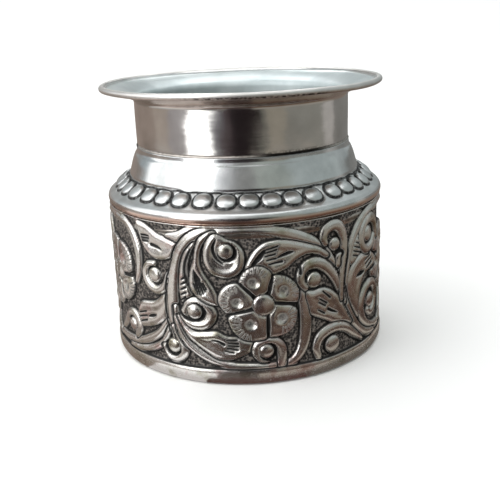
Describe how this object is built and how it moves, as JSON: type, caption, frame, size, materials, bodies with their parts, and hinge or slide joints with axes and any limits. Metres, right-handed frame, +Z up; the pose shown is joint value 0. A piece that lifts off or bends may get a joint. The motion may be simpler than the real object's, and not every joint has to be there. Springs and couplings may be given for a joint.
{
  "type": "kalash",
  "caption": "Small silver kalash pot with a wired flared mouth, straight neck, beaded shoulder and a wall chased with floral scrolls, on a plain foot band.",
  "frame": {"origin": "centre of the ring that the pot stands on", "axes": "+Z up along the pot's axis, -Y towards the side seen in the picture"},
  "size_m": [0.0802, 0.0802, 0.0766],
  "materials": {
    "polished_silver": "spun and hand polished silver, lightly tarnished",
    "shoulder_silver": "polished silver with darkened chased lines",
    "oxidised_silver": "chased silver, ground blackened by oxidation, raised work rubbed bright",
    "base_silver": "planished silver sheet, lightly tarnished",
    "silver_solder": "silver solder and wire, dull"
  },
  "bodies": {
    "root": {"rim_wire": "silver_solder", "neck_collar": "polished_silver", "neck_solder_seam": "silver_solder", "shoulder": "shoulder_silver", "shoulder_solder_seam": "silver_solder", "body_wall": "oxidised_silver", "base_plate": "base_silver", "base_solder_seam": "silver_solder"}
  },
  "joints": []
}
